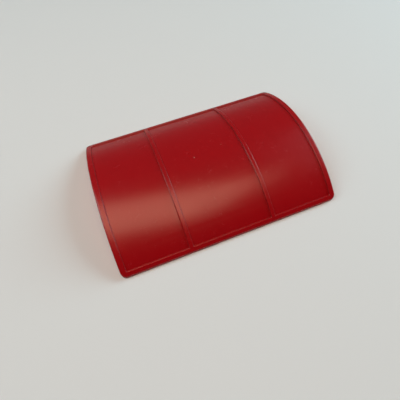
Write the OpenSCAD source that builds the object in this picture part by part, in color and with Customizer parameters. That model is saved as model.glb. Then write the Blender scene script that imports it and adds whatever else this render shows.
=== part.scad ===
// Curved panel: a one-piece moulding shaped like a shallow barrel vault.
// A raised rim runs all round the outer face, and cross ribs tie its long sides together.
// It lies on its two straight edges, crown up. X runs along the straight edges,
// Z points up, and the origin is on the resting plane under the middle of the crown.

/* [Panel] */
// Length along the straight edges
panel_length = 150; // [100:1:240]
// Width across the straight edges, measured flat
panel_width = 106.8; // [85:0.1:135]
// Rise of the crown above the tops of the straight edges
panel_rise = 18.5; // [13:0.1:26]
// Thickness of the curved field
wall = 2; // [1.5:0.1:2.8]
// Width of the flat foot under each straight edge
foot_width = 1.4; // [0.8:0.1:2]
// Radius of the four corners seen from above
corner_radius = 3.3; // [2:0.1:8]
// Rounding of the outer top edge, all round
edge_rounding = 1; // [0.4:0.1:1.2]

/* [Rim and ribs] */
// Height of the rim and the ribs above the field
band_rise = 1; // [0.6:0.1:1.4]
// Lean of the rim and rib sides from square, in degrees
band_draft = 12; // [5:1:30]
// Rounding of the top edges of the ribs and of the rim's inner edge
band_rounding = 0.4; // [0.1:0.05:0.5]
// Width of the rim at its foot, along the curved ends
end_rim_width = 4; // [3:0.1:6]
// Width of the rim at its foot, along the straight edges
edge_rim_width = 3.2; // [3:0.1:6]
// Width of a rib at its foot
rib_width = 3; // [2.4:0.1:5]
// Distance between the middles of neighbouring ribs
rib_spacing = 57.4; // [20:0.1:60]
// Number of ribs
rib_count = 2; // [1:1:2]

/* [Locating rails underneath] */
// Length of each rail
rail_length = 116; // [40:1:200]
// Thickness of each rail
rail_wall = 1.6; // [1.2:0.1:2.4]
// Distance from the outer face of a straight edge to the middle of its rail
rail_inset = 12.6; // [10:0.1:24]
// Height of the rails' lower edges above the resting plane
rail_clearance = 3.4; // [1:0.1:4]
// Radius of the rails' lower end corners
rail_end_radius = 2; // [0.5:0.1:2.5]

/* [Hidden] */
$fn = 96;
panel_color = [0.62, 0.06, 0.09];

half_length = panel_length / 2;
half_width = panel_width / 2;
outer_radius = (half_width * half_width + panel_rise * panel_rise) / (2 * panel_rise);
field_radius = outer_radius - band_rise;
inner_radius = field_radius - wall;

// The outer arc ends at the top of the straight edge's side, the inner arc at the foot's inner line.
edge_drop = outer_radius - panel_rise;
foot_reach = half_width - foot_width;
edge_height = edge_drop - sqrt(inner_radius * inner_radius - foot_reach * foot_reach);
axis_z = edge_height - edge_drop;
total_height = edge_height + panel_rise;

// Working margin past the surfaces that a cut goes through
spill = 2;
edge_angle = asin(half_width / outer_radius);
sweep_angle = edge_angle + spill;

// Inner foot of the rim's long stretches, as an angle about the vault's axis
rim_angle = edge_angle - edge_rim_width / outer_radius * 180 / PI;

// Centre of the rounding along a straight edge
round_y = half_width - edge_rounding;
round_reach = outer_radius - edge_rounding;
round_z = axis_z + sqrt(round_reach * round_reach - round_y * round_y);
round_tilt = atan2(round_z - axis_z, round_y);
round_steps = 8;

// Side of a band from its foot at [0, 0] up: a leaning face, then a round top edge.
// The last chord runs on straight, to cross the outer arc cleanly.
band_side = (band_rise - band_rounding + band_rounding * sin(band_draft)) / cos(band_draft);
band_touch = band_side * [sin(band_draft), cos(band_draft)];
band_centre = band_touch + band_rounding * [cos(band_draft), -sin(band_draft)];
band_steps = 4;
band_turn = (90 - band_draft) / band_steps;
band_arc = [for (i = [0:band_steps])
    band_centre + band_rounding * [-cos(band_draft + i * band_turn), sin(band_draft + i * band_turn)]];
band_lead = 2 * band_arc[band_steps] - band_arc[band_steps - 1];
band_curve = concat([[0, 0]], band_arc, [band_lead]);

function flip(points) = [for (i = [len(points) - 1:-1:0]) [-points[i][0], points[i][1]]];

// Moves a point of the band's side from the field's crown to the rim's inner foot.
function at_rim(p) = [
    (field_radius + p[1]) * sin(rim_angle) + p[0] * cos(rim_angle),
    axis_z + (field_radius + p[1]) * cos(rim_angle) - p[0] * sin(rim_angle)
];

// Puts a flat profile of (distance from the vault's axis, place along X) round the vault.
module sweep_round() {
    translate([0, 0, axis_z])
        rotate([0, -90, 0])
            rotate([0, 0, -sweep_angle])
                rotate_extrude(angle = 2 * sweep_angle)
                    children();
}

// Puts a flat (Y, Z) section along X, centred.
module run_along(length) {
    rotate([90, 0, 90])
        translate([0, 0, -length / 2])
            linear_extrude(length)
                children();
}

// Profile of the vault at its full thickness, with the outer end corners rounded.
module side_profile() {
    depth = outer_radius - inner_radius;
    inner_run = panel_length - 2 * edge_rounding;
    translate([inner_radius, -half_length])
        square([depth - edge_rounding, panel_length]);
    translate([inner_radius, -inner_run / 2])
        square([depth, inner_run]);
    for (side = [-1, 1])
        translate([outer_radius - edge_rounding, side * inner_run / 2])
            circle(edge_rounding);
}

// Upright sides and flat foot plane, less what makes the rim's flat top and round outer edge.
module end_section() {
    difference() {
        translate([-half_width, 0])
            square([panel_width, total_height + spill]);
        for (side = [0, 1])
            mirror([side, 0])
                translate([round_y, round_z])
                    edge_waste();
    }
}

// What a straight edge loses, seen from the rounding's centre: the round outer edge, then a flat
// top as wide as the rim. Both ends run on straight, to cross the side and the outer arc cleanly:
// the first by one step of the arc, the second by a share of the flat top's width.
module edge_waste() {
    step = round_tilt / round_steps;
    lead_share = 0.5;
    arc = [for (i = [0:round_steps]) edge_rounding * [cos(i * step), sin(i * step)]];
    rim_inner = [
        outer_radius * sin(rim_angle) - round_y,
        axis_z + outer_radius * cos(rim_angle) - round_z
    ];
    lead_in = arc[0] + (arc[0] - arc[1]);
    lead_out = rim_inner + lead_share * (rim_inner - arc[round_steps]);
    clear_y = edge_rounding + spill;
    clear_z = lead_out[1] + spill;
    polygon(concat([lead_in], arc, [lead_out, [clear_y, clear_z], [clear_y, lead_in[1]]]));
}

// Outline seen from above, with the four corners rounded.
module plan_outline() {
    straight_x = panel_length - 2 * corner_radius;
    straight_y = panel_width - 2 * corner_radius;
    square([panel_length, straight_y], center = true);
    square([straight_x, panel_width], center = true);
    for (sx = [-1, 1])
        for (sy = [-1, 1])
            translate([sx * straight_x / 2, sy * straight_y / 2])
                circle(corner_radius);
}

// The whole vault before the field is sunk into it.
module blank() {
    intersection() {
        sweep_round()
            side_profile();
        run_along(panel_length + 2 * spill)
            end_section();
        linear_extrude(total_height + spill)
            plan_outline();
    }
}

// What one sunk bay of the field takes away along X, between two bands' feet.
module bay_profile(from_x, to_x) {
    run = to_x - from_x;
    side = [for (p = band_curve) [run / 2 + p[0], p[1]]];
    rise = [side[len(side) - 1][0], band_rise + spill];
    outline = concat(side, [rise]);
    translate([field_radius, (from_x + to_x) / 2])
        mirror([1, -1])
            polygon(concat(outline, flip(outline)));
}

// What a bay takes away across Y, between the long stretches of the rim.
module bay_section() {
    root = -wall / 2;
    side = [for (p = concat([[root * tan(band_draft), root]], band_curve)) at_rim(p)];
    rise = [side[len(side) - 1][0], total_height + spill];
    outline = concat(side, [rise]);
    polygon(concat(outline, flip(outline)));
}

// The bays between the rim and the ribs.
module bays() {
    first_rib = -(rib_count - 1) * rib_spacing / 2;
    intersection() {
        for (i = [0:rib_count]) {
            rib = first_rib + i * rib_spacing;
            from_x = i == 0 ? end_rim_width - half_length : rib - rib_spacing + rib_width / 2;
            to_x = i == rib_count ? half_length - end_rim_width : rib - rib_width / 2;
            sweep_round()
                bay_profile(from_x, to_x);
        }
        run_along(panel_length)
            bay_section();
    }
}

// Side view of a rail, with its two lower corners rounded.
module rail_outline() {
    corner_x = rail_length / 2 - rail_end_radius;
    corner_z = rail_clearance + rail_end_radius;
    translate([-rail_length / 2, corner_z])
        square([rail_length, total_height - corner_z]);
    translate([-corner_x, rail_clearance])
        square([2 * corner_x, total_height - rail_clearance]);
    for (side = [-1, 1])
        translate([side * corner_x, corner_z])
            circle(rail_end_radius);
}

// Two straight rails under the field, one inside each straight edge, rooted in the wall.
module rails() {
    intersection() {
        for (side = [-1, 1])
            translate([0, side * (half_width - rail_inset) + rail_wall / 2, 0])
                rotate([90, 0, 0])
                    linear_extrude(rail_wall)
                        rail_outline();
        translate([-half_length, 0, axis_z])
            rotate([0, 90, 0])
                cylinder(r = inner_radius + wall / 2, h = panel_length);
    }
}

module curved_panel() {
    color(panel_color) {
        difference() {
            blank();
            bays();
        }
        rails();
    }
}

curved_panel();
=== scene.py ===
from math import asin, atan2, ceil, copysign, cos, exp, pi, radians, sin, sqrt, tan

import bmesh
import bpy
from mathutils import Matrix, Quaternion, Vector


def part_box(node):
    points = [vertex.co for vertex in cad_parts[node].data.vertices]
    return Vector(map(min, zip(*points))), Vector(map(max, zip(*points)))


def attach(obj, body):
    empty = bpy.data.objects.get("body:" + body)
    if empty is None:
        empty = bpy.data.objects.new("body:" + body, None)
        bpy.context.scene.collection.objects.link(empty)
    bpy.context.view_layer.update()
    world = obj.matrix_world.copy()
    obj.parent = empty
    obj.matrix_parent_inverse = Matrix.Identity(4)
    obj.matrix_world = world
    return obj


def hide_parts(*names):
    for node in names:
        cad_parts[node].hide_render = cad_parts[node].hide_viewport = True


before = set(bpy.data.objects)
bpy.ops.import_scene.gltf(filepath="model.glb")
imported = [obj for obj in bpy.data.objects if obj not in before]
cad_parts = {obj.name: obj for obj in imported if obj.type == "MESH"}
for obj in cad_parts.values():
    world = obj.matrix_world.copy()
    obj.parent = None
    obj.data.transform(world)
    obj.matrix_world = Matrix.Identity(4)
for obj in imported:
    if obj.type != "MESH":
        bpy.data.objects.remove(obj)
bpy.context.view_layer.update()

# A red moulded cover: a shallow vault with a raised rim, two cross ribs and two rails underneath.
# All sizes are in metres. The length, width and height come from the frame.

panelSizes = {
    "crownRise": 0.0185,  # crown above the tops of the straight edges
    "wall": 0.002,
    "cornerRadius": 0.0033,  # outer corners seen from above
    "edgeRounding": 0.001,
    "lowerRounding": 0.0002,
    "endRimWidth": 0.004,
    "edgeRimWidth": 0.0032,
    "rimCorner": 0.0006,  # corners of the sunk bays
    "ribWidth": 0.003,
    "ribSpacing": 0.0574,
    "bandRise": 0.001,  # rim and ribs above the field
    "bandDraft": radians(12),
    "bandRounding": 0.0004,
    "bandFillet": 0.00015,
    "paintedShadeReach": 0.0001,  # painted shade reaches this far out from a band's foot
}

fieldWaves = {
    "depth": 0.00004,  # the field strays this far from a true curve
    "crossed": (97, 0.6, 61, -0.4),  # radians per metre along and a shift, then the same across
    "slanted": (41, 73, 1.9),  # radians per metre along and across, and a shift
}

railSizes = {
    "length": 0.116,
    "wall": 0.0016,
    "inset": 0.0126,  # outer face of a straight edge to the middle of its rail
    "clearance": 0.0034,  # lower edge above the floor
    "endRadius": 0.002,
    "fillet": 0.00035,
    "draft": 0.00006,
    "rounding": 0.0002,
    "sinkDepth": 0.00003,  # the field draws in a little above each rail
    "sinkReach": 0.0011,
}

markSizes = {
    "ejectorRadius": 0.0021,
    "ejectorDepth": 0.00012,
    "ejectorX": (-0.0435, 0.0, 0.0435),
    "ejectorY": (-0.0205, 0.0205),
    "ejectorSlope": (0.92, 1.08),  # where its side runs, in radii
    "gatePlace": (-0.0066, 0.0016),
    "gateRadius": 0.0003,
    "gateHeight": 0.0001,
    "palePart": (0.6, 1.2),  # the paler skin fades out here, in gate radii
}

meshSteps = {
    "gapX": 0.004,  # widest gaps between lines, along and across
    "gapV": 0.0026,
    "cornerSteps": 4,
    "arcSteps": 4,
    "edgeSteps": 6,
    "lowerSteps": 3,
    "closest": 0.00001,  # lines nearer than this are one
    "support": 0.00015,  # a line this far beside a rounding keeps the shading flat
    "footStep": 0.0001,  # between the rings beside the foot's inner line
    "footRings": 3,  # the last one is the border of the underside's own pattern
    "markShares": (0.4, 0.75, 0.92, 1, 1.08, 1.35, 1.8),  # lines round a mark, in radii
    "markReach": 1.8,  # the round pattern has melted away this far out, in radii
    "markFade": 0.6,  # and melts over this many
    "besideRail": (0, 0.0019, 0.0028),  # more lines beside a rail's middle
    "railFootAngles": (0, 25, 50, 70, 90),  # degrees round each rounding of a rail
    "railEdgeAngles": (0, 35, 60, 90),
    "railEndAngles": (0, 15, 30, 45),
    "rimTopShares": (0.35, 0.7, 0.93),  # rings on the rim's top, then down the outer side
    "sideShares": (0.07, 0.93),
    "stretchX": 0.062,  # from here out the lines spread to meet the outline's corners
    "stretchV": 0.048,
}

low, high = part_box("curved_panel")
halfLength = (high.x - low.x) / 2
halfWidth = (high.y - low.y) / 2
outerRadius = (halfWidth ** 2 + panelSizes["crownRise"] ** 2) / (2 * panelSizes["crownRise"])
axisZ = high.z - outerRadius
fieldRadius = outerRadius - panelSizes["bandRise"]
innerRadius = fieldRadius - panelSizes["wall"]
footReach = sqrt(innerRadius ** 2 - (low.z - axisZ) ** 2)
halfArc = outerRadius * asin(halfWidth / outerRadius)

# Where the bays' rounded corners begin, and where the outline's do
coreX = halfLength - panelSizes["endRimWidth"] - panelSizes["rimCorner"]
coreV = halfArc - panelSizes["edgeRimWidth"] - panelSizes["rimCorner"]
outlineX = halfLength - panelSizes["cornerRadius"]
outlineY = halfWidth - panelSizes["cornerRadius"]


# A band is the rim or a rib. Distance runs from its foot towards its middle.
def bandCorners():
    draft = panelSizes["bandDraft"]
    half = tan((pi / 2 - draft) / 2)
    footRun = panelSizes["bandFillet"] * half
    topRun = panelSizes["bandRounding"] * half
    return footRun, topRun, panelSizes["bandRise"] * tan(draft) + topRun


def bandLines():
    footRun, topRun, topStart = bandCorners()
    turn = pi / 2 - panelSizes["bandDraft"]
    steps = meshSteps["arcSteps"]
    share = [sin(turn * i / steps) for i in range(steps + 1)]
    foot = [panelSizes["bandFillet"] * s - footRun for s in share]
    top = [topStart - panelSizes["bandRounding"] * s for s in reversed(share)]
    return [foot[0] - meshSteps["support"]] + foot + top + [topStart + meshSteps["support"]]


def bandHeight(distance):
    footRun, topRun, topStart = bandCorners()
    draft, rise = panelSizes["bandDraft"], panelSizes["bandRise"]
    fillet, rounding = panelSizes["bandFillet"], panelSizes["bandRounding"]
    if distance <= -footRun:
        return 0
    if distance < footRun * sin(draft):
        return fillet - sqrt(fillet ** 2 - (distance + footRun) ** 2)
    if distance < rise * tan(draft) - topRun * sin(draft):
        return distance / tan(draft)
    if distance < topStart:
        return rise - rounding + sqrt(rounding ** 2 - (topStart - distance) ** 2)
    return rise


def bandEdge(distance):  # 1 along the band's top edge, 0 away from it
    middle = bandCorners()[2] - panelSizes["bandRounding"] / 2
    return max(0, 1 - abs(distance - middle) / panelSizes["bandRounding"])


def bandPaintedShade(distance):  # painted shade in the corner: 1 at the band's foot, fading out on the field and up the band's side
    if distance < 0:
        return max(0, 1 + distance / panelSizes["paintedShadeReach"])
    return max(0, 1 - bandHeight(distance) / panelSizes["bandRise"])


def ribDistance(x):
    return panelSizes["ribWidth"] / 2 - abs(abs(x) - panelSizes["ribSpacing"] / 2)


# The field isn't a perfect curve: it strays a little, and draws in above the rails.
def fieldDip(x, v):
    alongRate, alongShift, acrossRate, acrossShift = fieldWaves["crossed"]
    slantX, slantV, slantShift = fieldWaves["slanted"]
    waves = sin(x * alongRate + alongShift) * cos(v * acrossRate + acrossShift)
    waves += sin(x * slantX - v * slantV + slantShift)
    railY = halfWidth - railSizes["inset"]
    railV = outerRadius * asin(railY / innerRadius)
    past = max(0, abs(x) - railSizes["length"] / 2)
    away = sqrt((abs(v) - railV) ** 2 + past ** 2) / railSizes["sinkReach"]
    lowered = (waves - 2) / 4  # between -1 and 0, so the field stays inside its true curve
    return fieldWaves["depth"] * lowered - railSizes["sinkDepth"] * exp(-away * away)


# Moves a point of a square pattern of lines onto circles, fading out past the mark.
def roundMark(dx, dy, radius):
    size = max(abs(dx), abs(dy))
    fade = min(1, max(0, (meshSteps["markReach"] - size / radius) / meshSteps["markFade"]))
    if size == 0 or fade == 0:
        return dx, dy
    turn = pi / 4 * min(abs(dx), abs(dy)) / size
    long, short = size * cos(turn), size * sin(turn)
    if abs(dx) >= abs(dy):
        px, py = copysign(long, dx), copysign(short, dy)
    else:
        px, py = copysign(short, dx), copysign(long, dy)
    return dx + (px - dx) * fade, dy + (py - dy) * fade


def markLines(middle, radius):
    steps = [side * radius * share for share in meshSteps["markShares"] for side in (-1, 1)]
    return [middle] + [middle + step for step in steps]


# Depth of a rail below the wall, by distance inside its outline.
def railStep(distance, full):
    fillet, draft, rounding = railSizes["fillet"], railSizes["draft"], railSizes["rounding"]
    if full <= 0 or distance <= -fillet:
        return 0
    if distance < 0:
        return min(full, fillet - sqrt(fillet ** 2 - (distance + fillet) ** 2))
    if distance < draft:
        return min(full, fillet + (full - fillet - rounding) * distance / draft)
    if distance < draft + rounding:
        return full - rounding + sqrt(rounding ** 2 - (draft + rounding - distance) ** 2)
    return full


def railLines():
    fillet, draft, rounding = railSizes["fillet"], railSizes["draft"], railSizes["rounding"]
    foot = [fillet * (sin(radians(a)) - 1) for a in meshSteps["railFootAngles"]]
    edge = [draft + rounding * (1 - cos(radians(a))) for a in meshSteps["railEdgeAngles"]]
    return [foot[0] - meshSteps["support"]] + foot + edge + [edge[-1] + meshSteps["support"]]


def railDepth(x, y):
    half, radius = railSizes["length"] / 2, railSizes["endRadius"]
    inside = min(railSizes["wall"] / 2 - abs(abs(y) - halfWidth + railSizes["inset"]), half - abs(x))
    if inside <= -railSizes["fillet"]:
        return 0
    past = min(radius, max(0, abs(x) - half + radius))
    lowest = low.z + railSizes["clearance"] + radius - sqrt(radius ** 2 - past ** 2)
    return railStep(inside, underHeight(y) - lowest)


def underHeight(y):
    return max(low.z, axisZ + sqrt(innerRadius ** 2 - y ** 2))


def arcPlace(y):  # place along the outer arc that lies above a place under the panel
    return outerRadius * asin(y / innerRadius)


# Every wanted line on both sides of the middle, with even lines between those far apart.
def fillLines(wanted, end, gap):
    closest = meshSteps["closest"]
    lines = [-end]
    for place in sorted([p for p in wanted if abs(p) < end - closest] + [end]):
        if place - lines[-1] > closest:
            lines.append(place)
    filled = lines[:1]
    for start, stop in zip(lines, lines[1:]):
        count = ceil((stop - start) / gap)
        filled += [start + (stop - start) * (i + 1) / count for i in range(count)]
    return filled


def linesAlong():
    wanted = markLines(markSizes["gatePlace"][0], markSizes["gateRadius"])
    for middle in markSizes["ejectorX"]:
        wanted += markLines(middle, markSizes["ejectorRadius"])
    for side in (-1, 1):
        rib = side * panelSizes["ribSpacing"] / 2
        for distance in bandLines():
            reach = panelSizes["ribWidth"] / 2 - distance
            wanted += [rib - reach, rib + reach]
        wanted += [side * (railSizes["length"] / 2 - distance) for distance in railLines()]
        for angle in meshSteps["railEndAngles"]:
            corner = railSizes["endRadius"] * (sin(radians(angle)) - 1)
            wanted.append(side * (railSizes["length"] / 2 + corner))
    return fillLines(wanted, coreX, meshSteps["gapX"])


def linesAcross():
    wanted = markLines(markSizes["gatePlace"][1], markSizes["gateRadius"])
    for middle in markSizes["ejectorY"]:
        wanted += [arcPlace(y) for y in markLines(middle, markSizes["ejectorRadius"])]
    railY = halfWidth - railSizes["inset"]
    reach = [railSizes["wall"] / 2 - distance for distance in railLines()]
    reach += meshSteps["besideRail"]
    for side in (-1, 1):
        wanted += [side * arcPlace(railY + way * r) for r in reach for way in (-1, 1)]
    return fillLines(wanted, coreV, meshSteps["gapV"])


# A station is a core point, a direction out of it, and a share of the way to the bay's edge.
def stationAt(i, j, alongLines, acrossLines):
    steps = meshSteps["cornerSteps"]
    coreI = min(max(i - steps, 0), len(alongLines) - 1)
    coreJ = min(max(j - steps, 0), len(acrossLines) - 1)
    outX, outV = i - steps - coreI, j - steps - coreJ
    size = max(abs(outX), abs(outV))
    direction = (0, 0)
    if size:
        turn = pi / 4 * min(abs(outX), abs(outV)) / size
        ways = (cos(turn), sin(turn)) if abs(outX) >= abs(outV) else (sin(turn), cos(turn))
        direction = (copysign(ways[0], outX) if outX else 0, copysign(ways[1], outV) if outV else 0)
    return alongLines[coreI], acrossLines[coreJ], direction[0], direction[1], size / steps


def stretch(place, start, end, newEnd):
    if abs(place) <= start:
        return place
    return copysign(start + (abs(place) - start) * (newEnd - start) / (end - start), place)


# Plan place of a station's core on a vault of some radius, spread to meet the outline's corners.
def planCore(station, radius):
    newEnd = outerRadius * asin(outlineY / radius)
    v = stretch(station[1], meshSteps["stretchV"], coreV, newEnd)
    x = stretch(station[0], meshSteps["stretchX"], coreX, outlineX)
    return x, radius * sin(v / outerRadius)


def blendDirections(a, b, share):
    angle = a.angle(b)
    return (a * sin((1 - share) * angle) + b * sin(share * angle)) / sin(angle)


def vaultPoint(x, v, radius):
    return Vector((x, radius * sin(v / outerRadius), axisZ + radius * cos(v / outerRadius)))


# The outer face: the sunk bays and ribs inside the rim
def topPoint(station):
    outward = (panelSizes["rimCorner"] + bandLines()[0]) * station[4]
    x, v = station[0] + outward * station[2], station[1] + outward * station[3]
    gateX, gateV = markSizes["gatePlace"]
    radius = markSizes["gateRadius"]
    dx, dv = roundMark(x - gateX, v - gateV, radius)
    x, v = gateX + dx, gateV + dv
    gate = markSizes["gateHeight"] * max(0, 1 - (dx * dx + dv * dv) / radius ** 2)
    fromFoot = ribDistance(x)
    rib = bandHeight(fromFoot)
    dip = fieldDip(x, v) * (1 - rib / panelSizes["bandRise"])
    # also gives the wear along the rib's top edge and the painted shade at the rib's feet
    return vaultPoint(x, v, fieldRadius + rib + dip + gate), bandEdge(fromFoot), bandPaintedShade(fromFoot)


# The rim's inner side, by distance from its foot. Ribs and rim melt into each other.
def rimPoint(station, distance):
    reach = panelSizes["rimCorner"] + distance
    x, v = station[0] + reach * station[2], station[1] + reach * station[3]
    rise = panelSizes["bandRise"]
    fromRibFoot = ribDistance(x)
    onRib = bandHeight(fromRibFoot) / rise
    sunk = (1 - bandHeight(distance) / rise) * (1 - onRib)
    wear = max(bandEdge(distance) * (1 - onRib), bandEdge(fromRibFoot) * sunk)
    # painted shade at the feet of the rim and ribs, where shade falls in the corner
    paintedShade = max(bandPaintedShade(distance), bandPaintedShade(fromRibFoot) * sunk) * (1 - onRib)
    return vaultPoint(x, v, fieldRadius + rise * (1 - sunk) + fieldDip(x, v) * sunk), wear, paintedShade


# The ball that rounds the outer edge: its middle, the way up and the way out
def edgeBall(station):
    radius = panelSizes["edgeRounding"]
    x, y = planCore(station, outerRadius - radius)
    reach = panelSizes["cornerRadius"] - radius
    x, y = x + reach * station[2], y + reach * station[3]
    z = axisZ + sqrt((outerRadius - radius) ** 2 - y ** 2)
    out = Vector((station[2], station[3], 0)).normalized()
    return Vector((x, y, z)), Vector((0, y, z - axisZ)).normalized(), out


def edgePoint(station, share):
    middle, up, out = edgeBall(station)
    return middle + panelSizes["edgeRounding"] * blendDirections(up, out, share)


def rimTopPoint(station, share):
    start = rimPoint(station, bandLines()[-1])[0]
    end = edgePoint(station, 0)
    angles = [atan2(p.y, p.z - axisZ) for p in (start, end)]
    angle = angles[0] + (angles[1] - angles[0]) * share
    x = start.x + (end.x - start.x) * share
    return Vector((x, outerRadius * sin(angle), axisZ + outerRadius * cos(angle)))


def lowerPoint(station, share):
    radius = panelSizes["lowerRounding"]
    x, y = planCore(station, innerRadius + radius)
    reach = panelSizes["cornerRadius"] - radius
    x, y = x + reach * station[2], y + reach * station[3]
    onWall = axisZ + sqrt((innerRadius + radius) ** 2 - y ** 2)
    middle = Vector((x, y, max(low.z + radius, onWall)))
    down = Vector((0, -y, axisZ - onWall)).normalized() if onWall > low.z + radius else Vector((0, 0, -1))
    out = Vector((station[2], station[3], 0)).normalized()
    return middle + radius * blendDirections(out, down, share)


# The underside: rings on both sides of the foot's inner line, then the wall and the rails
def underEdge(station, ring):
    x, y = planCore(station, innerRadius)
    reach = panelSizes["cornerRadius"] - panelSizes["lowerRounding"] - ring * meshSteps["footStep"]
    limit = footReach + (2 - ring) * meshSteps["footStep"]  # the second ring lies on the line
    y = min(limit, max(-limit, y + reach * station[3]))
    return Vector((x + reach * station[2], y, underHeight(y)))


def underPoint(station):
    edge = underEdge(station, meshSteps["footRings"])
    startX, startY = planCore(station, innerRadius)
    x = startX + (edge.x - startX) * station[4]
    y = startY + (edge.y - startY) * station[4]
    dent = 0
    radius = markSizes["ejectorRadius"]
    inner, outer = markSizes["ejectorSlope"]
    for markX in markSizes["ejectorX"]:
        for markY in markSizes["ejectorY"]:
            if max(abs(x - markX), abs(y - markY)) < meshSteps["markReach"] * radius:
                dx, dy = roundMark(x - markX, y - markY, radius)
                x, y = markX + dx, markY + dy
                away = sqrt(dx * dx + dy * dy) / radius
                dent = min(1, max(0, (outer - away) / (outer - inner)))
    return Vector((x, y, underHeight(y) - railDepth(x, y) + dent * markSizes["ejectorDepth"]))


def makePanel():
    bm = bmesh.new()
    wearLayer = bm.verts.layers.float.new("edgeWear")
    # a per-point share of painted shade that darkens the feet of the rim and ribs
    paintedShadeLayer = bm.verts.layers.float.new("paintedShade")

    def add(point, wear=0, paintedShade=0):
        vert = bm.verts.new(point)
        vert[wearLayer] = wear
        vert[paintedShadeLayer] = paintedShade
        return vert

    along, across = linesAlong(), linesAcross()
    columns = len(along) + 2 * meshSteps["cornerSteps"]
    rows = len(across) + 2 * meshSteps["cornerSteps"]
    stations = [[stationAt(i, j, along, across) for j in range(rows)] for i in range(columns)]
    border = [(i, 0) for i in range(columns)]
    border += [(columns - 1, j) for j in range(1, rows)]
    border += [(i, rows - 1) for i in range(columns - 2, -1, -1)]
    border += [(0, j) for j in range(rows - 2, 0, -1)]
    edgeStations = [stations[i][j] for i, j in border]

    top = [[add(*topPoint(s)) for s in column] for column in stations]
    under = [[add(underPoint(s)) for s in column] for column in stations]
    rings = [[top[i][j] for i, j in border]]
    for distance in bandLines()[1:]:
        rings.append([add(*rimPoint(s, distance)) for s in edgeStations])
    for share in meshSteps["rimTopShares"]:
        rings.append([add(rimTopPoint(s, share)) for s in edgeStations])
    steps = meshSteps["edgeSteps"]
    for i in range(steps + 1):
        rings.append([add(edgePoint(s, i / steps), sin(pi * i / steps)) for s in edgeStations])
    for share in meshSteps["sideShares"]:
        rings.append([add(edgePoint(s, 1).lerp(lowerPoint(s, 0), share)) for s in edgeStations])
    steps = meshSteps["lowerSteps"]
    for i in range(steps + 1):
        rings.append([add(lowerPoint(s, i / steps), sin(pi * i / steps)) for s in edgeStations])
    outerRings = len(rings)
    for ring in range(1, meshSteps["footRings"]):
        rings.append([add(underEdge(s, ring)) for s in edgeStations])
    rings.append([under[i][j] for i, j in border])

    for grid, finish in ((top, 0), (under, 1)):
        for i in range(columns - 1):
            for j in range(rows - 1):
                face = bm.faces.new((grid[i][j], grid[i + 1][j], grid[i + 1][j + 1], grid[i][j + 1]))
                face.material_index = finish
    for number, (first, second) in enumerate(zip(rings, rings[1:])):
        for a in range(len(border)):
            b = (a + 1) % len(border)
            face = bm.faces.new((first[a], first[b], second[b], second[a]))
            face.material_index = 0 if number < outerRings - 1 else 1
    bmesh.ops.recalc_face_normals(bm, faces=bm.faces)
    for face in bm.faces:
        face.smooth = True
    mesh = bpy.data.meshes.new("curvedPanelShell")
    bm.to_mesh(mesh)
    bm.free()
    panel = bpy.data.objects.new("curvedPanelShell", mesh)
    bpy.context.scene.collection.objects.link(panel)
    print("panel:", len(mesh.vertices), "points,", len(mesh.polygons), "faces")
    return panel


panel = makePanel()
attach(panel, "root")
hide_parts("curved_panel")


# The plastic's finish. Every group works in object space, in metres.
def newGroup(name, inputs, outputs):
    group = bpy.data.node_groups.new(name, "ShaderNodeTree")
    for label, kind, value in inputs:
        socket = group.interface.new_socket(label, in_out="INPUT", socket_type=kind)
        if value is not None:
            socket.default_value = value
    for label, kind in outputs:
        group.interface.new_socket(label, in_out="OUTPUT", socket_type=kind)
    return group, group.nodes.new("NodeGroupInput"), group.nodes.new("NodeGroupOutput")


def addNode(tree, kind, links=(), **values):
    node = tree.nodes.new(kind)
    for key, value in values.items():
        setattr(node, key, value)
    for socket, source in links:
        if hasattr(source, "is_output"):
            tree.links.new(source, node.inputs[socket])
        else:
            node.inputs[socket].default_value = source
    return node


def noise(tree, place, scale, detail, roughness=0.5):
    node = addNode(
        tree, "ShaderNodeTexNoise",
        [("Vector", place), ("Scale", scale), ("Detail", detail), ("Roughness", roughness)])
    return node.outputs["Fac"]


def band(tree, source, low0, high0, low1=0.0, high1=1.0):
    node = addNode(
        tree, "ShaderNodeMapRange",
        [("Value", source), ("From Min", low0), ("From Max", high0), ("To Min", low1), ("To Max", high1)],
        interpolation_type="SMOOTHSTEP")
    return node.outputs["Result"]


def maths(tree, operation, a, b):
    return addNode(tree, "ShaderNodeMath", [(0, a), (1, b)], operation=operation).outputs[0]


def mixColors(tree, share, a, b):
    node = addNode(tree, "ShaderNodeMix", data_type="RGBA")
    for socket, source in ((0, share), (6, a), (7, b)):
        if hasattr(source, "is_output"):
            tree.links.new(source, node.inputs[socket])
        else:
            node.inputs[socket].default_value = source
    return node.outputs[2]


grainSettings = {
    "flowScale": 220,  # streaks left where the plastic ran in the mould
    "coarseRatio": 0.31,
    "coarseShare": 0.8,
    "wideRatio": 0.12,
    "wideShare": 0.6,
}


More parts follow.
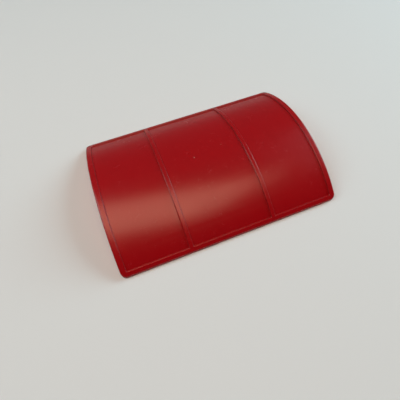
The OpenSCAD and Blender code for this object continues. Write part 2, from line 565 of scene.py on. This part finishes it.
def makeGrainGroup():
    group, start, end = newGroup(
        "mouldedGrain",
        [("Place", "NodeSocketVector", None), ("Grain Scale", "NodeSocketFloat", None),
         ("Flow Scale", "NodeSocketFloat", grainSettings["flowScale"])],
        [("Height", "NodeSocketFloat"), ("Tone", "NodeSocketFloat"),
         ("Roughness Shift", "NodeSocketFloat")])
    place = start.outputs["Place"]
    grainScale, flowScale = start.outputs["Grain Scale"], start.outputs["Flow Scale"]
    coarseScale = maths(group, "MULTIPLY", grainScale, grainSettings["coarseRatio"])
    wideScale = maths(group, "MULTIPLY", flowScale, grainSettings["wideRatio"])
    grain = noise(group, place, grainScale, detail=3, roughness=0.6)
    coarse = noise(group, place, coarseScale, detail=2)
    flow = noise(group, place, flowScale, detail=3)
    wide = noise(group, place, wideScale, detail=2)
    height = maths(group, "ADD", grain, maths(group, "MULTIPLY", coarse, grainSettings["coarseShare"]))
    wideShare = grainSettings["wideShare"]
    streaks = maths(group, "MULTIPLY", flow, 1 - wideShare)
    tone = maths(group, "ADD", streaks, maths(group, "MULTIPLY", wide, wideShare))
    halves = [maths(group, "MULTIPLY", source, 0.5) for source in (flow, grain)]
    shift = maths(group, "SUBTRACT", maths(group, "ADD", *halves), 0.5)
    group.links.new(height, end.inputs["Height"])
    group.links.new(tone, end.inputs["Tone"])
    group.links.new(shift, end.inputs["Roughness Shift"])
    return group


handlingSettings = {
    "scuffScale": 900,
    "scuffEdge": (0.42, 0.68),  # noise values between which a scuff comes in
    "patchScale": 70,  # scuffs gather in patches
    "patchEdge": (0.38, 0.62),
    "smudgeScale": 55,
    "smudgeEdge": (0.5, 0.75),
    "dustScale": 210,  # cells per metre, few of which hold a speck
    "dustSize": (0.075, 0.035),
    "dustChance": (0.96, 0.975),
}


def makeHandlingGroup():
    group, start, end = newGroup(
        "handlingMarks",
        [("Place", "NodeSocketVector", None), ("Edge", "NodeSocketFloat", 0.0),
         ("Smudge Scale", "NodeSocketFloat", handlingSettings["smudgeScale"])],
        [("Scuff", "NodeSocketFloat"), ("Smudge", "NodeSocketFloat"), ("Dust", "NodeSocketFloat")])
    place = start.outputs["Place"]
    broken = noise(group, place, handlingSettings["scuffScale"], detail=4, roughness=0.65)
    broken = band(group, broken, *handlingSettings["scuffEdge"])
    patchy = noise(group, place, handlingSettings["patchScale"], detail=2)
    patchy = band(group, patchy, *handlingSettings["patchEdge"])
    scuff = maths(group, "MULTIPLY", maths(group, "MULTIPLY", broken, patchy), start.outputs["Edge"])
    smudge = noise(group, place, start.outputs["Smudge Scale"], detail=3, roughness=0.55)
    smudge = band(group, smudge, *handlingSettings["smudgeEdge"])
    cells = [("Vector", place), ("Scale", handlingSettings["dustScale"])]
    specks = addNode(group, "ShaderNodeTexVoronoi", cells, feature="F1")
    small = band(group, specks.outputs["Distance"], *handlingSettings["dustSize"])
    chance = addNode(group, "ShaderNodeSeparateColor", [("Color", specks.outputs["Color"])]).outputs[0]
    few = band(group, chance, *handlingSettings["dustChance"])
    group.links.new(scuff, end.inputs["Scuff"])
    group.links.new(smudge, end.inputs["Smudge"])
    group.links.new(maths(group, "MULTIPLY", small, few), end.inputs["Dust"])
    return group


plasticSettings = {
    "body": (0.37, 0.0006, 0.0036, 1),
    "deep": (0.32, 0.0005, 0.0030, 1),
    # painted shade: a darker red put at the feet of the rim and ribs
    "paintedShadeColor": (0.20, 0.0002, 0.0010, 1),
    "scuffed": (0.50, 0.10, 0.10, 1),
    "dusty": (0.55, 0.30, 0.27, 1),
    "gate": (0.62, 0.30, 0.26, 1),
    # how much of the painted shade colour goes in at the feet
    "paintedShadeShare": 0.8,
    "scuffShare": 0.05,
    "dustShare": 0.5,
    "grainRoughness": 0.12,  # each of these four adds to the roughness
    "smudgeRoughness": -0.04,
    "scuffRoughness": 0.18,
    # extra roughness where the shade is painted
    "paintedShadeRoughness": 0.2,
    "specular": 0.5,
    "ior": 1.55,
    "outer": {"roughness": 0.26, "grainScale": 2600, "grainHeight": 0.000012},
    "inner": {"roughness": 0.30, "grainScale": 5200, "grainHeight": 0.000003},
}


# The gate's broken tip is paler than the skin around it.
def gateMask(tree, place):
    radius = markSizes["gateRadius"]
    spot = vaultPoint(*markSizes["gatePlace"], fieldRadius + markSizes["gateHeight"])
    away = addNode(tree, "ShaderNodeVectorMath", [(0, place), (1, spot)], operation="DISTANCE")
    inner, outer = markSizes["palePart"]
    return band(tree, away.outputs["Value"], radius * outer, radius * inner)


def makePlastic(name, finish, grainGroup, handlingGroup):
    material = bpy.data.materials.new(name)
    material.use_nodes = True
    tree = material.node_tree
    shader = tree.nodes["Principled BSDF"]
    place = addNode(tree, "ShaderNodeTexCoord").outputs["Object"]
    edge = addNode(tree, "ShaderNodeAttribute", attribute_name="edgeWear").outputs["Fac"]
    # the share of painted shade at the feet of the rim and ribs
    paintedShade = addNode(tree, "ShaderNodeAttribute", attribute_name="paintedShade").outputs["Fac"]
    grain = addNode(tree, "ShaderNodeGroup", node_tree=grainGroup)
    tree.links.new(place, grain.inputs["Place"])
    grain.inputs["Grain Scale"].default_value = finish["grainScale"]
    marks = addNode(tree, "ShaderNodeGroup", node_tree=handlingGroup)
    tree.links.new(place, marks.inputs["Place"])
    tree.links.new(edge, marks.inputs["Edge"])
    scuff, dust = marks.outputs["Scuff"], marks.outputs["Dust"]

    def share(source, key):
        return maths(tree, "MULTIPLY", source, plasticSettings[key])

    color = mixColors(tree, grain.outputs["Tone"], plasticSettings["deep"], plasticSettings["body"])
    # mixes in the painted shade colour at the feet of the rim and ribs
    color = mixColors(tree, share(paintedShade, "paintedShadeShare"), color, plasticSettings["paintedShadeColor"])
    color = mixColors(tree, share(scuff, "scuffShare"), color, plasticSettings["scuffed"])
    color = mixColors(tree, share(dust, "dustShare"), color, plasticSettings["dusty"])
    color = mixColors(tree, gateMask(tree, place), color, plasticSettings["gate"])
    tree.links.new(color, shader.inputs["Base Color"])

    rough = share(grain.outputs["Roughness Shift"], "grainRoughness")
    rough = maths(tree, "ADD", rough, finish["roughness"])
    rough = maths(tree, "ADD", rough, share(marks.outputs["Smudge"], "smudgeRoughness"))
    rough = maths(tree, "ADD", rough, share(scuff, "scuffRoughness"))
    # rougher where the shade is painted
    rough = maths(tree, "ADD", rough, share(paintedShade, "paintedShadeRoughness"))
    tree.links.new(rough, shader.inputs["Roughness"])
    shader.inputs["Specular IOR Level"].default_value = plasticSettings["specular"]
    shader.inputs["IOR"].default_value = plasticSettings["ior"]

    bump = addNode(
        tree, "ShaderNodeBump",
        [("Height", grain.outputs["Height"]), ("Distance", finish["grainHeight"]), ("Strength", 1.0)])
    tree.links.new(bump.outputs["Normal"], shader.inputs["Normal"])
    return material


grainGroup = makeGrainGroup()
handlingGroup = makeHandlingGroup()
for label in ("outer", "inner"):
    plastic = makePlastic(label + "Plastic", plasticSettings[label], grainGroup, handlingGroup)
    panel.data.materials.append(plastic)
print("plastic ready")

# The floor, the light, the room and the camera
roomSettings = {
    "color": (0.97, 0.98, 1.0, 1),
    "front": 0.03,
    "back": 0.10,
    "horizon": 0.13,  # low down behind the panel
    "backdrop": 0.8,
    "behind": (-0.4, 0.8),  # the front turns into the back between these, along Y
    "rising": (0.0, 0.45),  # and the horizon into the back, upwards
}
floorSettings = {
    "size": 3.0,
    "color": (0.74, 0.785, 0.80, 1),
    "mirrored": (0.34, 0.34, 0.34, 1),  # how the gloss of the plastic sees it
    "roughness": 0.8,
    "specular": 0.2,
    "fade": (0.30, 0.62),  # distances between which it melts into the backdrop
}


# The floor is plain and pale. Far out it melts into the backdrop. From below it is clear, and it
# lets the under light through.
def makeFloorMaterial():
    material = bpy.data.materials.new("paleFloor")
    material.use_nodes = True
    tree = material.node_tree
    shader = tree.nodes["Principled BSDF"]
    rays = addNode(tree, "ShaderNodeLightPath")
    mirrored = rays.outputs["Is Glossy Ray"]
    color = mixColors(tree, mirrored, floorSettings["color"], floorSettings["mirrored"])
    tree.links.new(color, shader.inputs["Base Color"])
    shader.inputs["Roughness"].default_value = floorSettings["roughness"]
    shader.inputs["Specular IOR Level"].default_value = floorSettings["specular"]

    place = addNode(tree, "ShaderNodeTexCoord").outputs["Object"]
    distance = addNode(tree, "ShaderNodeVectorMath", [(0, place)], operation="LENGTH").outputs["Value"]
    far = band(tree, distance, *floorSettings["fade"])
    far = maths(tree, "MULTIPLY", far, rays.outputs["Is Camera Ray"])
    below = addNode(tree, "ShaderNodeNewGeometry").outputs["Backfacing"]
    clear = maths(tree, "MULTIPLY", below, rays.outputs["Is Camera Ray"])
    clear = maths(tree, "MAXIMUM", clear, rays.outputs["Is Shadow Ray"])
    glow = addNode(
        tree, "ShaderNodeEmission",
        [("Color", roomSettings["color"]), ("Strength", roomSettings["backdrop"])])
    faded = addNode(tree, "ShaderNodeMixShader", [(0, far), (1, shader.outputs[0]), (2, glow.outputs[0])])
    window = addNode(tree, "ShaderNodeBsdfTransparent")
    sides = [(0, clear), (1, faded.outputs[0]), (2, window.outputs[0])]
    whole = addNode(tree, "ShaderNodeMixShader", sides)
    tree.links.new(whole.outputs[0], tree.nodes["Material Output"].inputs["Surface"])
    return material


def makeFloor():
    bm = bmesh.new()
    bmesh.ops.create_grid(bm, x_segments=8, y_segments=8, size=floorSettings["size"] / 2)
    mesh = bpy.data.meshes.new("studioFloor")
    bm.to_mesh(mesh)
    bm.free()
    floor = bpy.data.objects.new("studioFloor", mesh)
    floor.location.z = low.z
    bpy.context.scene.collection.objects.link(floor)
    mesh.materials.append(makeFloorMaterial())


# A soft warm panel overhead, one soft cool light to each side, and one under the floor
lightSettings = {
    "overhead": {
        "place": (-0.10, -0.085, 0.95), "target": (0, 0, 0), "twist": radians(12),
        "size": (1.0, 0.44), "power": 4.6, "color": (1.0, 0.60, 0.41)},
    "rightSide": {
        "place": (1.15, 0.15, 0.62), "target": (0, 0, 0), "twist": 0,
        "size": (0.8, 0.8), "power": 12.0, "color": (0.70, 0.94, 1.0)},
    "leftSide": {
        "place": (-0.84, 0.26, 0.92), "target": (0, 0, 0), "twist": 0,
        "size": (0.8, 0.8), "power": 6.0, "color": (0.76, 0.96, 1.0)},
    "under": {
        "place": (0.10, -0.15, -0.60), "target": (0, 0, 0), "twist": 0,
        "size": (0.5, 0.5), "power": 2.5, "color": (1.0, 0.98, 0.96)},
}


def makeLights():
    for name, settings in lightSettings.items():
        data = bpy.data.lights.new(name, "AREA")
        data.shape = "RECTANGLE"
        data.size, data.size_y = settings["size"]
        data.energy = settings["power"]
        data.color = settings["color"]
        light = bpy.data.objects.new(name, data)
        light.location = settings["place"]
        direction = Vector(settings["target"]) - Vector(settings["place"])
        aimed = direction.to_track_quat("-Z", "Y")
        light.rotation_euler = (aimed @ Quaternion((0, 0, 1), settings["twist"])).to_euler()
        bpy.context.scene.collection.objects.link(light)


# The room is dim in front and lighter behind. Seen straight on it is a pale backdrop.
def makeRoom():
    world = bpy.data.worlds.new("studioRoom")
    world.use_nodes = True
    tree = world.node_tree
    facing = addNode(tree, "ShaderNodeTexCoord").outputs["Generated"]
    split = addNode(tree, "ShaderNodeSeparateXYZ", [("Vector", facing)])
    behind = band(tree, split.outputs["Y"], *roomSettings["behind"])
    levels = roomSettings["horizon"], roomSettings["back"]
    rising = band(tree, split.outputs["Z"], *roomSettings["rising"], *levels)
    glow = addNode(tree, "ShaderNodeMix", [(0, behind), (2, roomSettings["front"]), (3, rising)]).outputs[0]
    seen = addNode(tree, "ShaderNodeLightPath").outputs["Is Camera Ray"]
    strength = addNode(tree, "ShaderNodeMix", [(0, seen), (2, glow), (3, roomSettings["backdrop"])])
    background = tree.nodes["Background"]
    background.inputs["Color"].default_value = roomSettings["color"]
    tree.links.new(strength.outputs[0], background.inputs["Strength"])
    bpy.context.scene.world = world


# The eye stands near the front left corner and looks down on the crown.
cameraSettings = {
    "place": (-0.043392, -0.110792, 0.188634),
    "lens": 27.514,
    "sensor": 36,
    "nearest": 0.005,
    "downTilt": radians(62.839),
    "turn": radians(19.516),  # from +Y towards +X
    "roll": radians(2.056),
}


def makeCamera():
    tilt, turn, roll = (cameraSettings[k] for k in ("downTilt", "turn", "roll"))
    ahead = Vector((sin(turn) * cos(tilt), cos(turn) * cos(tilt), -sin(tilt)))
    right = Vector((cos(turn), -sin(turn), 0))
    down = ahead.cross(right)
    rolledRight = cos(roll) * right + sin(roll) * down
    rolledDown = cos(roll) * down - sin(roll) * right
    data = bpy.data.cameras.new("camera")
    data.lens, data.sensor_width = cameraSettings["lens"], cameraSettings["sensor"]
    data.clip_start = cameraSettings["nearest"]
    camera = bpy.data.objects.new("camera", data)
    camera.matrix_world = Matrix((
        (*(rolledRight[:]), 0), (*(-rolledDown)[:], 0), (*(-ahead)[:], 0), (0, 0, 0, 1))).transposed()
    camera.location = cameraSettings["place"]
    bpy.context.scene.collection.objects.link(camera)
    bpy.context.scene.camera = camera


makeFloor()
makeLights()
makeRoom()
makeCamera()
bpy.context.scene.view_settings.view_transform = "Standard"
print("floor, light and camera ready")
